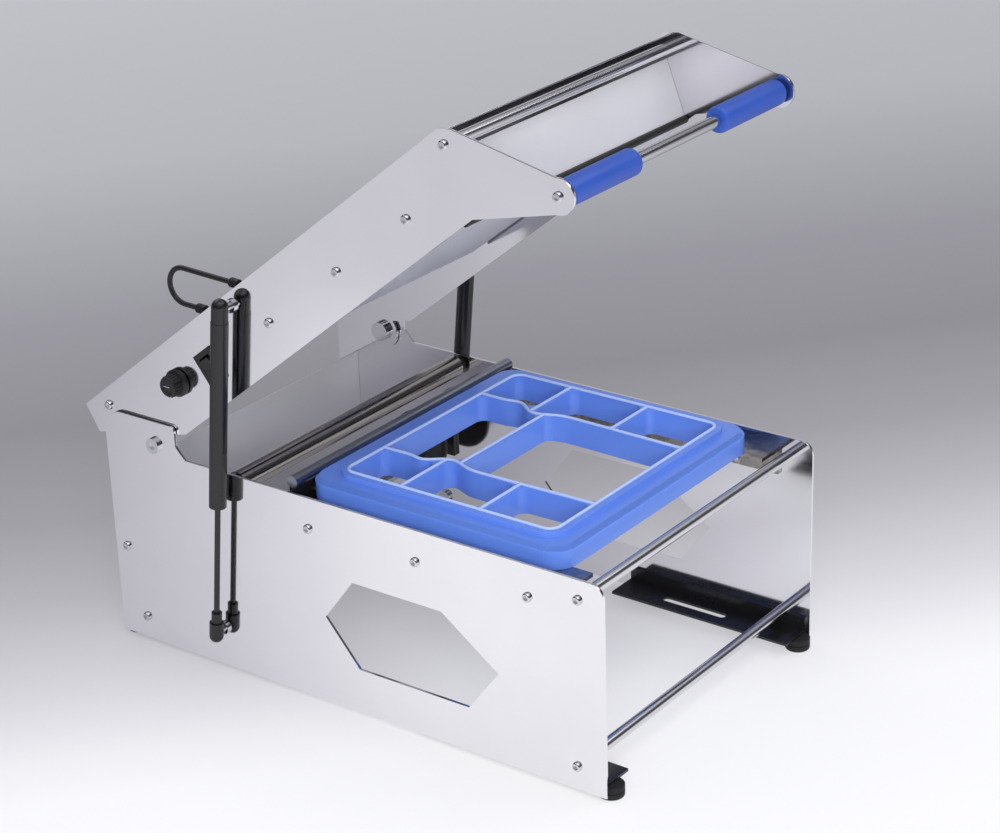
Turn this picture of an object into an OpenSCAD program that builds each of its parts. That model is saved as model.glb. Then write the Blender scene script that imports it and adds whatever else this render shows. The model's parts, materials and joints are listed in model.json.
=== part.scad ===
// Hand-operated meal tray sealer with a lift-up heated lid, shown open.
// Across the machine is X, the operator stands at -Y, and Z is up from the table.
// Base pieces are drawn from the plates' front bottom corner, lid pieces from the hinge with the lid shut.

/* [Base] */
// Room between the mould and each side plate
mould_room = 17; // [16:1:30]
// Length of the side plates
base_length = 624; // [610:1:640]
// Height of the side plates at the front
base_height = 224; // [218:1:230]
// Height of the hinge towers at the rear
tower_height = 258; // [252:1:266]
// Length of the hinge towers
tower_length = 98; // [90:1:104]
// Thickness of the stainless side plates
plate_thickness = 3; // [2.5:0.5:3]
// Diameter of the round tie bars
tie_diameter = 12; // [10:1:14]
// Gap that the rubber feet leave under the side plates
foot_gap = 5; // [4:1:8]
// Diameter of the rubber feet
foot_diameter = 26; // [22:1:28]

/* [Lid] */
// Angle at which the open lid stands
open_angle = 38; // [30:1:38]
// Distance of the hinge from the rear of the base
hinge_inset = 69; // [66:1:72]
// Height of the hinge above the bottom edge of the plates
hinge_height = 232; // [229:1:234]
// Gap between a base plate and the lid plate beside it
plate_gap = 1; // [1:0.5:2]
// Height of the lid's top edge above the hinge, lid shut
lid_top = 78; // [74:1:84]
// Diameter of the handle bar
handle_diameter = 12; // [10:1:16]
// Diameter of the blue grips
grip_diameter = 26; // [22:1:30]
// Length of each blue grip
grip_length = 108; // [80:1:130]

/* [Mould] */
// Width of the mould across the machine
mould_width = 340; // [320:2:380]
// Length of the mould along the machine
mould_length = 310; // [300:2:312]
// Depth of the mould
mould_depth = 28; // [24:1:30]
// Width of the rows of pockets over the gasket
gasket_width = 300; // [290:2:304]
// Length of the rows of pockets over the gasket
gasket_length = 262; // [250:2:266]
// Thickness of the walls between the pockets
wall_thickness = 6; // [5:0.5:8]
// Height of the silicone gasket above the mould
gasket_height = 2; // [1.5:0.5:3]

/* [Struts] */
// Diameter of the gas strut's tube
strut_tube_diameter = 18; // [15:0.5:19]
// Diameter of the gas strut's rod
strut_rod_diameter = 6; // [5:0.5:7]
// Distance of the strut's axis from the base plate
strut_offset = 12.5; // [12:0.5:16]

/* [Film] */
// Diameter of the film guide roller
roller_diameter = 24; // [20:1:26]
// Diameter of the film rest rod behind the mould
rest_rod_diameter = 13; // [10:1:14]
// Diameter of the film spindle
spindle_diameter = 25; // [20:1:30]

/* [Controls] */
// Diameter of the thermostat knob
knob_diameter = 29; // [24:1:32]
// Height of the thermostat knob
knob_height = 17; // [12:1:18]
// Length of the power switch along the lid
switch_length = 28; // [24:1:30]
// Height of the power switch
switch_height = 36; // [30:1:38]

/* [Hidden] */
$fn = 64;
fit_gap = 0.05;
side_gap = 0.3;
base_width = mould_width + 2 * (mould_room + plate_thickness);
half_width = base_width / 2;
base_inner = half_width - plate_thickness;
lid_outer = base_inner - plate_gap;
lid_inner = lid_outer - plate_thickness;

// Hinge bolts
hinge_back = base_length - hinge_inset;
hinge_place = [hinge_back, hinge_height];
hinge_diameter = 12;
hinge_gap = 0.08;
hinge_head = 17;
hinge_head_height = 4;
hinge_socket_depth = 2.5;
hinge_nut = 22;
hinge_nut_length = 6;
lug_radius = 21;

// The front feet reach furthest forward, the open lid's corner furthest back, and the origin is midway.
foot_inset = 6;
lid_rear = 64;
front_reach = foot_inset - foot_diameter / 2;
rear_reach = hinge_back + lid_rear * cos(open_angle) + lid_top * sin(open_angle);
middle = (front_reach + rear_reach) / 2;

// Side plate outline
corner_radius = 14;
tower_front = base_length - tower_length;
tower_radius = 6;
heel_radius = 24;
step_run = 12;
step_rise = 13;
window_middle = [230, 97];
window_half_length = 107;
window_half_height = 48;
window_top = [-40, 70];
window_bottom = [-70, 66];

// Tie bars, as distance back from the front and height
top_tie_drop = 21;
low_tie_height = 25;
middle_tie_height = 103;
front_top_inset = 29;
front_low_inset = 33;
rear_low_inset = 36;
rear_middle_inset = 16;
front_top_tie = [front_top_inset, base_height - top_tie_drop];
front_low_tie = [front_low_inset, low_tie_height];
rear_low_tie = [base_length - rear_low_inset, low_tie_height];
rear_mid_tie = [base_length - rear_middle_inset, middle_tie_height];
tie_places = [front_top_tie, front_low_tie, rear_low_tie, rear_mid_tie];
tie_notch = tie_diameter + 1;

// Socket screws
screw_diameter = 6;
screw_reach = 12;
thread_end = 1;
head_diameter = 10;
head_height = 3.2;
socket_across = 5;
socket_depth = 2;

// Mould, its walls and its gasket
mould_front = 60;
mould_sink = 12;
mould_middle = mould_front + mould_length / 2;
mould_rear = mould_front + mould_length;
gasket_shift = 2;
gasket_middle = mould_middle - gasket_shift;
mould_bottom = base_height - mould_sink;
gasket_base = mould_bottom + mould_depth;
seal_height = gasket_base + gasket_height;
mould_radius = 24;
mould_edge = 9;
rim_drop = 5;
rim_inset = 8;
gasket_radius = 18;
gasket_line = 3.4;
pocket_radius = 10;
side_walls = [173, 269];
middle_wall = 252;
pocket_half = gasket_width / 2 - wall_thickness;
pocket_front = gasket_middle - gasket_length / 2 + wall_thickness;
pocket_rear = gasket_middle + gasket_length / 2 - wall_thickness;

// The two long walls spread a little to the rear, swell into the middle and back out past the cross walls
long_wall = 79;
wall_spread = 0.022;
waist_place = 262;
waist_depth = 11;
waist_length = 20;
shoulder_place = 289;
shoulder_depth = 5;
shoulder_length = 12;
wall_steps = 14;

// Angle rails under the mould
tie_room = 3;
rail_front = front_top_inset + tie_diameter / 2 + tie_room;
rail_overhang = 22;
rail_length = mould_rear + rail_overhang - rail_front;
rail_height = 30;
rail_thickness = 4;
rail_reach = 36;
rail_screws = [86, 219, 353];
rail_screw_drop = 22;
rail_screw_height = mould_bottom - rail_screw_drop;

// Foot rails and feet
foot_rail_length = 218;
foot_rail_start = 4;
rear_foot_rail_start = base_length - foot_rail_start - foot_rail_length;
foot_rail_height = 17;
foot_rail_lift = 8;
foot_rail_reach = 40;
foot_side_inset = 14;
foot_line = base_inner - foot_side_inset;
foot_chamfer = 2;
slot_length = 78;
slot_width = 10;
slot_inset = 128;
slot_side_inset = 22;

// Rear panel and film guides
panel_inset = 28;
panel_back = base_length - panel_inset;
panel_thickness = 2;
panel_bottom = 34;
panel_drop = 27;
panel_top = base_height - panel_drop;
guide_clearance = 2;
guide_half = lid_inner - guide_clearance;
strip_gap = 4;
strip_thickness = 8;
rest_rod_rise = 7;
rest_rod_place = [mould_rear + strip_gap + strip_thickness / 2, base_height + rest_rod_rise];
roller_drop = 12;
roller_share = 0.443;
roller_place = [mould_rear + roller_share * (hinge_back - mould_rear), base_height - roller_drop];
journal_diameter = 8;
journal_gap = 0.1;
bush_diameter = 16;
bush_length = 5;
roller_gap = 1;

// Film spindle inside the rear of the base
spindle_inset = 146;
spindle_height = 128;
spindle_place = [base_length - spindle_inset, spindle_height];
spindle_journal = 10;
cradle_size = [40, 46];
cradle_drop = 5;
cradle_thickness = 5;
collar_diameter = 72;
collar_length = 16;
collar_rim = 4;
collar_step = 6;
collar_inset = 37;
collar_reach = base_inner - collar_inset;

// Lid outline, forward of the hinge and above it with the lid shut
lid_front = hinge_back - 1;
lid_bend = lid_front - 29;
lid_low = -10;
lid_low_front = -6;
lid_heel = 45;
heel_rise = 46;
heel_bulge = 4;
nose_place = [lid_front + 69, -34];
nose_size = 17;
nose_low = -68;
nose_high = 146;
corner_cut = 8;
front_bar_inset = 12;
front_bar_drop = 15;
rear_bar_drop = 16;
front_bar_place = [lid_front - front_bar_inset, lid_top - front_bar_drop];
rear_bar_place = [-33, lid_top - rear_bar_drop];
lid_tie_places = [front_bar_place, rear_bar_place, nose_place];
cover_thickness = 1.5;
cover_front = lid_front - 24;
cover_rear = 50;
front_panel_inset = 23;
front_panel_drop = 22;
front_panel_top = [lid_front - front_panel_inset, lid_top - front_panel_drop];
front_panel_low = [lid_front - 42, -4];
front_panel_thickness = 2;
grip_end = 4;

// Heater over the gasket
heater_margin = 24;
heater_middle = hinge_back - gasket_middle;
heater_length = gasket_length + 2 * heater_margin;
heater_front = heater_middle + heater_length / 2;
heater_rear = heater_middle - heater_length / 2;
heater_screws = [heater_middle - 108, heater_middle + 5, heater_middle + 115];
heater_rise = 30;
heater_half = 8;
seal_gap = 0.4;
seal_margin = 20;
seal_low = seal_height - hinge_height + seal_gap;
seal_size = [gasket_width, gasket_length] + 2 * seal_margin * [1, 1];

// Struts: upper stud on the lid, lower stud on the base
upper_stud = [201, 66];
lower_stud_inset = 147;
lower_stud_height = 44;
lower_stud = [base_length - lower_stud_inset, lower_stud_height];
stud_axis = half_width + strut_offset;
stud_diameter = 8;
stud_flange = 3;
stud_nut = 14;
stud_nut_height = 4;
ball_diameter = 10;
ball_gap = 0.1;
upper_eye = 17;
lower_eye = 15;
eye_wall = 3;
eye_rise = 4;
eye_drop = 12;
ball_reach = lower_eye / 2 - eye_wall - side_gap;
neck_diameter = 11;
neck_length = 12;
tube_slack = 0.8;
tube_length = 205;
tube_end = 15;
rod_overlap = 60;
upper_back = hinge_back - upper_stud[0] * cos(open_angle) + upper_stud[1] * sin(open_angle);
upper_height = hinge_height + upper_stud[0] * sin(open_angle) + upper_stud[1] * cos(open_angle);
strut_lean = atan2(lower_stud[0] - upper_back, upper_height - lower_stud[1]);
strut_span = norm([lower_stud[0] - upper_back, upper_height - lower_stud[1]]);
rod_top = strut_span - eye_drop - tube_length + rod_overlap;

// Controls on the left lid plate, between the hinge and the heater
knob_place = [0.42 * heater_rear, 37];
knob_gap = 1;
knob_skirt = 5;
knob_step = 3;
knob_round = 1;
shaft_diameter = 6;
shaft_gap = 0.1;
shaft_reach = 12;
shaft_room = 2;
thermostat_size = [26, 40, 34];
switch_place = [0.7 * heater_rear, 30];
switch_flange = 2;
switch_depth = 20;
rocker_wall = 3;
rocker_gap = 0.5;
rocker_room = 1.5;
rocker_proud = 5;
rocker_dish = 2.5;
rocker_heel = 3;
rocker_pivot = 4;
rocker_pin = 2.5;
rocker_tilt = -8;

// Lead on the lid's top cover
lead_diameter = 5.5;
lead_inset = 25;
lead_across = lead_inset - lid_inner;
gland_front = 196;
gland_apart = 60;
gland_diameter = 10;
gland_flange = 14;
gland_lean = 50;
gland_collar = 5;
gland_nose = 11;
lead_straight = 16;
lead_sides = 8;
lead_steps = 10;
gland_places = [-gland_front, -gland_front + gland_apart];
lead_direction = [0, sin(gland_lean), cos(gland_lean)];
function gland_mouth(back) = [lead_across, back, lid_top + gland_collar] + gland_nose * lead_direction;

// The lead runs straight out of one gland, turns half round and runs straight into the other
lead_first = gland_mouth(gland_places[0]);
lead_last = gland_mouth(gland_places[1]);
lead_radius = gland_apart * cos(gland_lean) / 2;
lead_side = [0, cos(gland_lean), -sin(gland_lean)];
turn_middle = lead_last + lead_straight * lead_direction - lead_radius * lead_side;
lead_route = concat(
  [lead_first],
  [for (i = [0:lead_steps]) let (a = 180 - 180 * i / lead_steps)
    turn_middle + lead_radius * (cos(a) * lead_side + sin(a) * lead_direction)],
  [lead_last]
);

// Points round an arc
function arc(centre, radius, from, to, steps = 8) =
  [for (i = [0:steps]) let (a = from + (to - from) * i / steps) centre + radius * [cos(a), sin(a)]];

// Drawing frames
module on_base() translate([0, -middle, foot_gap]) children();
module on_lid() on_base() translate([0, hinge_back, hinge_height]) rotate([-open_angle, 0, 0]) children();
module at_right() mirror([1, 0, 0]) children();

// A round bar along X at a place given as back and height
module bar(place, diameter, from, to)
  translate([from, place[0], place[1]]) rotate([0, 90, 0]) cylinder(d = diameter, h = to - from);

// A flat outline of back and height, thickened along X
module slab(from, to) translate([from, 0, 0]) rotate([90, 0, 90]) linear_extrude(to - from) children();

// A lid place is given forward of the hinge, and drawing runs backward
function lid_place(p) = [-p[0], p[1]];

// A flat rectangle with rounded corners about its middle
module rounded(size, radius) {
  square([size[0] - 2 * radius, size[1]], center = true);
  square([size[0], size[1] - 2 * radius], center = true);
  for (x = [-1, 1], y = [-1, 1])
    translate([x * (size[0] / 2 - radius), y * (size[1] / 2 - radius)]) circle(radius);
}

// A socket screw from the left, with its head on the face at x
module screw(place, face, reach) {
  difference() {
    bar(place, head_diameter, -face - head_height, -face);
    translate([-face - head_height - 1, place[0], place[1]]) rotate([0, 90, 0])
      cylinder(d = socket_across * 2 / sqrt(3), h = socket_depth + 1, $fn = 6);
  }
  bar(place, screw_diameter - 2 * fit_gap, -face, -face + reach);
}

// A tie bar with a tapped hole in each end
module tie_bar(place, inner) {
  difference() {
    bar(place, tie_diameter, -inner, inner);
    for (side = [-1, 1])
      bar(place, screw_diameter, side * inner - screw_reach, side * inner + screw_reach);
  }
}

// Base side plates
module side_outline() {
  polygon(concat(
    [[0, 0]],
    arc([corner_radius, base_height - corner_radius], corner_radius, 180, 90),
    [[tower_front - step_run, base_height], [tower_front, base_height + step_rise]],
    arc([tower_front + tower_radius, tower_height - tower_radius], tower_radius, 180, 90),
    arc([base_length - heel_radius, tower_height - heel_radius], heel_radius, 90, 0),
    [[base_length, 0]]
  ));
}

module window_outline() {
  translate(window_middle) polygon([
    [window_half_length, 0],
    [window_top[1], window_half_height], [window_top[0], window_half_height],
    [-window_half_length, 0],
    [window_bottom[0], -window_half_height], [window_bottom[1], -window_half_height]
  ]);
}

module side_plate() {
  color("gainsboro") on_base() difference() {
    slab(-half_width, -base_inner) difference() {
      side_outline();
      window_outline();
    }
    for (place = tie_places) bar(place, screw_diameter, -half_width - 1, -base_inner + 1);
    for (back = rail_screws)
      bar([back, rail_screw_height], screw_diameter, -half_width - 1, -base_inner + 1);
    bar([hinge_back, hinge_height], hinge_diameter + 2 * fit_gap, -half_width - 1, -base_inner + 1);
    bar(lower_stud, stud_diameter + 2 * fit_gap, -half_width - 1, -base_inner + 1);
  }
}

module left_side_plate() side_plate();
module right_side_plate() at_right() side_plate();

// Tie bars across the base
module base_tie(place) color("silver") on_base() tie_bar(place, base_inner);
module front_top_tie_bar() base_tie(front_top_tie);
module front_low_tie_bar() base_tie(front_low_tie);
module rear_low_tie_bar() base_tie(rear_low_tie);
module rear_middle_tie_bar() base_tie(rear_mid_tie);

// Screws in the side plates
module base_screws() {
  color("silver") on_base() {
    for (place = tie_places) screw(place, half_width, plate_thickness + screw_reach - thread_end);
    for (back = rail_screws)
      screw([back, rail_screw_height], half_width, plate_thickness + 2 * rail_thickness);
  }
}

module left_base_screws() base_screws();
module right_base_screws() at_right() base_screws();

// Angle rails that carry the mould, from behind the front tie bar
module mould_rail() {
  color("dimgray") on_base() difference() {
    union() {
      translate([-base_inner, rail_front, mould_bottom - rail_height])
        cube([rail_thickness, rail_length, rail_height]);
      translate([-base_inner, rail_front, mould_bottom - rail_thickness])
        cube([rail_reach, rail_length, rail_thickness]);
    }
    for (back = rail_screws)
      bar([back, rail_screw_height], screw_diameter, -half_width, -base_inner + rail_thickness + 1);
  }
}

module left_mould_rail() mould_rail();
module right_mould_rail() at_right() mould_rail();

// Angle rails that carry the feet, notched round the tie bars
module foot_rail(start, tie, slot) {
  color("dimgray") on_base() difference() {
    union() {
      translate([-base_inner, start, foot_rail_lift])
        cube([plate_thickness, foot_rail_length, foot_rail_height]);
      translate([-base_inner, start, foot_rail_lift])
        cube([foot_rail_reach, foot_rail_length, plate_thickness]);
    }
    bar(tie, tie_notch, -half_width, -base_inner + plate_thickness + 1);
    translate([-base_inner + slot_side_inset, slot, foot_rail_lift - 1])
      linear_extrude(plate_thickness + 2) rounded([slot_width, slot_length], slot_width / 2 - fit_gap);
  }
}

module front_foot_rail() foot_rail(foot_rail_start, front_low_tie, slot_inset);
module rear_foot_rail() foot_rail(rear_foot_rail_start, rear_low_tie, base_length - slot_inset);
module front_left_foot_rail() front_foot_rail();
module front_right_foot_rail() at_right() front_foot_rail();
module rear_left_foot_rail() rear_foot_rail();
module rear_right_foot_rail() at_right() rear_foot_rail();

// Rubber feet under the foot rails
module foot(back) {
  color("black") on_base() translate([-foot_line, back, -foot_gap]) rotate_extrude() polygon([
    [0, 0], [foot_diameter / 2 - foot_chamfer, 0], [foot_diameter / 2, foot_chamfer],
    [foot_diameter / 2, foot_gap + foot_rail_lift], [0, foot_gap + foot_rail_lift]
  ]);
}

module front_left_foot() foot(foot_inset);
module front_right_foot() at_right() foot(foot_inset);
module rear_left_foot() foot(base_length - foot_inset);
module rear_right_foot() at_right() foot(base_length - foot_inset);

// Middle line of a long wall, as its distance across at a place back
function swell(back, place, length) = exp(-pow((back - place) / length, 2));
function wall_line(back) =
  long_wall + wall_spread * (back - gasket_middle) - waist_depth * swell(back, waist_place, waist_length)
  + shoulder_depth * swell(back, shoulder_place, shoulder_length);

// Points along one side of a long wall between two places back
function wall_side(from, to, shift) =
  [for (i = [0:wall_steps]) let (back = from + (to - from) * i / wall_steps) [wall_line(back) + shift, back]];

// Corner of a pocket, rounded about a point set in from it
function corner(across, back, from) = arc([across, back], pocket_radius, from, from + 90, 6);

// A pocket beside a long wall, from front to rear
module side_pocket(front, rear) {
  inner = wall_thickness / 2;
  near = front + pocket_radius;
  far = rear - pocket_radius;
  polygon(concat(
    corner(pocket_half - pocket_radius, near, 270),
    corner(pocket_half - pocket_radius, far, 0),
    corner(wall_line(far) + inner + pocket_radius, far, 90),
    wall_side(far, near, inner),
    corner(wall_line(near) + inner + pocket_radius, near, 180)
  ));
}

// Half of a pocket between the long walls, from front to rear
module middle_pocket_half(front, rear) {
  inner = -wall_thickness / 2;
  near = front + pocket_radius;
  far = rear - pocket_radius;
  polygon(concat(
    [[0, front]],
    corner(wall_line(near) + inner - pocket_radius, near, 270),
    wall_side(near, far, inner),
    corner(wall_line(far) + inner - pocket_radius, far, 0),
    [[0, rear]]
  ));
}

module pockets() {
  half = wall_thickness / 2;
  fronts = [pocket_front, side_walls[0] + half, side_walls[1] + half];
  rears = [side_walls[0] - half, side_walls[1] - half, pocket_rear];
  for (side = [0, 1]) mirror([side, 0]) {
    for (i = [0:2]) side_pocket(fronts[i], rears[i]);
    middle_pocket_half(pocket_front, middle_wall - half);
    middle_pocket_half(middle_wall + half, pocket_rear);
  }
}

// Round-edged slab of the mould, stepped up inside the gasket line
module mould() {
  color("royalblue") on_base() difference() {
    union() {
      translate([0, mould_middle, mould_bottom]) {
        linear_extrude(mould_depth - rim_drop - mould_edge / 2)
          rounded([mould_width, mould_length], mould_radius);
        linear_extrude(mould_depth - rim_drop)
          rounded([mould_width - mould_edge, mould_length - mould_edge], mould_radius - mould_edge / 2);
      }
      translate([0, gasket_middle, mould_bottom]) linear_extrude(mould_depth)
        rounded([gasket_width + rim_inset, gasket_length + rim_inset], gasket_radius + rim_inset / 2);
    }
    translate([0, 0, mould_bottom - 1]) linear_extrude(mould_depth + 2) pockets();
  }
}

// Silicone gasket that follows the tops of the walls
module gasket_ribs() {
  half = gasket_line / 2;
  polygon(concat(wall_side(pocket_front, pocket_rear, half), wall_side(pocket_rear, pocket_front, -half)));
  for (back = side_walls)
    translate([wall_line(back), back - half]) square([pocket_half - wall_line(back) + half, gasket_line]);
  translate([0, middle_wall - half]) square([wall_line(middle_wall), gasket_line]);
}

module mould_gasket() {
  inner = [gasket_width, gasket_length] - 2 * wall_thickness * [1, 1];
  color("whitesmoke") on_base() translate([0, 0, gasket_base]) linear_extrude(gasket_height) {
    translate([0, gasket_middle]) difference() {
      rounded(inner + 2 * gasket_line * [1, 1], pocket_radius + gasket_line);
      rounded(inner, pocket_radius);
    }
    for (side = [0, 1]) mirror([side, 0]) gasket_ribs();
  }
}

// Rear panel between the side plates
module rear_panel() {
  color("white") on_base() translate([-base_inner, panel_back, panel_bottom])
    cube([2 * base_inner, panel_thickness, panel_top - panel_bottom]);
}

// Film guides behind the mould: a rod on a strip that stands on the rails, and a roller
module film_rest_rod()
  color("lightgray") on_base() bar(rest_rod_place, rest_rod_diameter, -guide_half, guide_half);

module film_strip() {
  color("dimgray") on_base() difference() {
    translate([-guide_half, rest_rod_place[0] - strip_thickness / 2, mould_bottom])
      cube([2 * guide_half, strip_thickness, rest_rod_place[1] - mould_bottom]);
    bar(rest_rod_place, rest_rod_diameter + 2 * fit_gap, -half_width, half_width);
  }
}

module roller_bush() {
  color("black") on_base() difference() {
    bar(roller_place, bush_diameter, -base_inner, -base_inner + bush_length);
    bar(roller_place, journal_diameter + 2 * journal_gap, -base_inner - 1, base_inner);
  }
}

module left_roller_bush() roller_bush();
module right_roller_bush() at_right() roller_bush();

module film_roller() {
  color("dimgray") on_base() {
    bar(roller_place, roller_diameter, -base_inner + bush_length + roller_gap,
      base_inner - bush_length - roller_gap);
    bar(roller_place, journal_diameter, -base_inner + side_gap, base_inner - side_gap);
  }
}

// Film spindle in open cradles inside the rear of the base
module spindle_cradle() {
  color("dimgray") on_base() slab(-base_inner, -base_inner + cradle_thickness) translate(spindle_place)
    difference() {
      translate([0, -cradle_drop]) square(cradle_size, center = true);
      circle(d = spindle_journal + 2 * journal_gap);
      translate([0, cradle_size[1] / 2])
        square([spindle_journal + 2 * journal_gap, cradle_size[1]], center = true);
    }
}

module left_spindle_cradle() spindle_cradle();
module right_spindle_cradle() at_right() spindle_cradle();

module film_spindle() {
  color("silver") on_base() {
    bar(spindle_place, spindle_diameter, -base_inner + cradle_thickness + roller_gap,
      base_inner - cradle_thickness - roller_gap);
    bar(spindle_place, spindle_journal, -base_inner + side_gap, base_inner - side_gap);
  }
}

// Collars that centre the film roll on the spindle
module film_collar() {
  color("black") on_base() translate([-collar_reach, spindle_place[0], spindle_place[1]]) rotate([0, 90, 0])
    rotate_extrude() polygon([
      [spindle_diameter / 2 + fit_gap, 0], [collar_diameter / 2, 0], [collar_diameter / 2, collar_rim],
      [collar_diameter / 2 - collar_step, collar_rim], [spindle_diameter / 2 + collar_step, collar_length],
      [spindle_diameter / 2 + fit_gap, collar_length]
    ]);
}

module left_film_collar() film_collar();
module right_film_collar() at_right() film_collar();

// Hinge bolts with a collar between the plates and a nut inside the lid plate
module hinge_bolt() {
  color("silver") on_base() {
    difference() {
      bar(hinge_place, hinge_head, -half_width - hinge_head_height, -half_width);
      translate([-half_width - hinge_head_height - 1, hinge_back, hinge_height]) rotate([0, 90, 0])
        cylinder(d = hinge_head / 2, h = hinge_socket_depth + 1, $fn = 6);
    }
    bar(hinge_place, hinge_diameter, -half_width, -lid_inner + side_gap);
    bar(hinge_place, hinge_head, -base_inner, -lid_outer - side_gap);
    bar(hinge_place, hinge_nut, -lid_inner + side_gap, -lid_inner + hinge_nut_length);
  }
}

module left_hinge_bolt() hinge_bolt();
module right_hinge_bolt() at_right() hinge_bolt();

// Ball studs for the struts
module stud(place, face) {
  bar(place, stud_diameter, -stud_axis, -face + plate_thickness);
  bar(place, stud_nut, -face - stud_flange, -face);
  bar(place, stud_nut, -face + plate_thickness, -face + plate_thickness + stud_nut_height);
  bar(place, ball_diameter, -stud_axis - ball_reach, -stud_axis + ball_reach);
}

module lower_stud_piece() color("silver") on_base() stud(lower_stud, half_width);
module left_lower_stud() lower_stud_piece();
module right_lower_stud() at_right() lower_stud_piece();
module upper_stud_piece() color("silver") on_lid() stud(lid_place(upper_stud), lid_outer);
module left_upper_stud() upper_stud_piece();
module right_upper_stud() at_right() upper_stud_piece();

// Lid side plates
module lid_outline() {
  nose = lid_place(nose_place);
  polygon([
    [-lid_front + corner_cut, lid_top], [-lid_front - corner_cut / 2, lid_top - corner_cut],
    nose + (nose_size - 1) * [cos(nose_high), sin(nose_high)],
    nose + (nose_size - 1) * [cos(nose_low), sin(nose_low)],
    [-lid_bend, lid_low_front], [-lid_heel, lid_low], [lid_rear + heel_bulge, heel_rise], [lid_rear, lid_top]
  ]);
  translate(nose) circle(nose_size);
  circle(lug_radius);
}

module lid_plate() {
  color("gainsboro") on_lid() difference() {
    slab(-lid_outer, -lid_inner) lid_outline();
    bar([0, 0], hinge_diameter + 2 * hinge_gap, -half_width, -lid_inner + 1);
    for (place = lid_tie_places)
      bar(lid_place(place), screw_diameter, -half_width, -lid_inner + 1);
    for (forward = heater_screws)
      bar([-forward, heater_rise], screw_diameter, -half_width, -lid_inner + 1);
    bar(lid_place(upper_stud), stud_diameter + 2 * fit_gap, -half_width, -lid_inner + 1);
  }
}

module left_lid_plate() {
  color("gainsboro") difference() {
    lid_plate();
    on_lid() {
      bar(lid_place(knob_place), shaft_diameter + 2 * shaft_gap, -half_width, -lid_inner + 1);
      slab(-half_width, -lid_inner + 1) translate(lid_place(switch_place))
        square([switch_length - 2 * rocker_wall, switch_height - 2 * rocker_wall], center = true);
    }
  }
}

module right_lid_plate() at_right() lid_plate();

// Sheet metal and bars between the lid plates
module lid_top_cover() {
  color("gainsboro") on_lid() translate([-lid_inner, -cover_front, lid_top - cover_thickness])
    cube([2 * lid_inner, cover_front + cover_rear, cover_thickness]);
}

module lid_front_panel() {
  color("lightgray") on_lid() slab(-lid_inner, lid_inner) polygon([
    lid_place(front_panel_top), lid_place(front_panel_low),
    lid_place(front_panel_low) + [front_panel_thickness, 0],
    lid_place(front_panel_top) + [front_panel_thickness, 0]
  ]);
}

module lid_tie(place) color("silver") on_lid() tie_bar(lid_place(place), lid_inner);
module lid_front_bar() lid_tie(front_bar_place);
module lid_rear_bar() lid_tie(rear_bar_place);

// Handle bar with its two grips
module handle_bar() {
  color("silver") on_lid() difference() {
    bar(lid_place(nose_place), handle_diameter, -lid_inner, lid_inner);
    for (side = [-1, 1])
      bar(lid_place(nose_place), screw_diameter, side * lid_inner - screw_reach, side * lid_inner + screw_reach);
  }
}

module grip() {
  color("royalblue") on_lid() difference() {
    bar(lid_place(nose_place), grip_diameter, -lid_inner + grip_end, -lid_inner + grip_end + grip_length);
    bar(lid_place(nose_place), handle_diameter + 2 * fit_gap, -lid_inner, 0);
  }
}

module left_grip() grip();
module right_grip() at_right() grip();

// Heater block and the coated plate that presses on the tray
module heater_block() {
  color("darkgray") on_lid() difference() {
    translate([-lid_inner, -heater_front, heater_rise - heater_half])
      cube([2 * lid_inner, heater_length, 2 * heater_half]);
    for (forward = heater_screws, side = [-1, 1])
      bar([-forward, heater_rise], screw_diameter, side * lid_inner - screw_reach, side * lid_inner + screw_reach);
  }
}

module sealing_plate() {
  color("gray") on_lid() translate([-seal_size[0] / 2, -heater_middle - seal_size[1] / 2, seal_low])
    cube([seal_size[0], seal_size[1], heater_rise - heater_half - seal_low]);
}

// Screws in the lid plates
module lid_screws() {
  color("silver") on_lid() {
    for (place = lid_tie_places)
      screw(lid_place(place), lid_outer, plate_thickness + screw_reach - thread_end);
    for (forward = heater_screws)
      screw([-forward, heater_rise], lid_outer, plate_thickness + screw_reach - thread_end);
  }
}

module left_lid_screws() lid_screws();
module right_lid_screws() at_right() lid_screws();

// Glands on the top cover
module lead_glands() {
  color("black") on_lid() for (back = gland_places) {
    translate([lead_across, back, lid_top]) cylinder(d = gland_flange, h = gland_collar);
    intersection() {
      translate([lead_across, back, lid_top + gland_collar]) rotate([-gland_lean, 0, 0])
        translate([0, 0, -gland_collar]) cylinder(d = gland_diameter, h = gland_nose + gland_collar);
      translate([lead_across - gland_diameter, back - gland_diameter, lid_top])
        cube([2 * gland_diameter, 4 * gland_diameter, 4 * gland_diameter]);
    }
  }
}

// Ring of points round the lead at one place on its route
function ring(i) =
  let (
    last = len(lead_route) - 1,
    along = lead_route[min(i + 1, last)] - lead_route[max(i - 1, 0)],
    way = along / norm(along),
    up = cross(way, [1, 0, 0])
  )
  [for (k = [0:lead_sides - 1]) let (a = 360 * k / lead_sides)
    lead_route[i] + lead_diameter / 2 * (cos(a) * [1, 0, 0] + sin(a) * up)];

module jumper_lead() {
  count = len(lead_route);
  points = [for (i = [0:count - 1]) each ring(i)];
  sides = [for (i = [0:count - 2], k = [0:lead_sides - 1])
    let (a = i * lead_sides + k, b = i * lead_sides + (k + 1) % lead_sides)
    [a, b, b + lead_sides, a + lead_sides]];
  ends = [[for (k = [lead_sides - 1:-1:0]) k], [for (k = [0:lead_sides - 1]) (count - 1) * lead_sides + k]];
  color("black") on_lid() polyhedron(points, concat(sides, ends));
}

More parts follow.
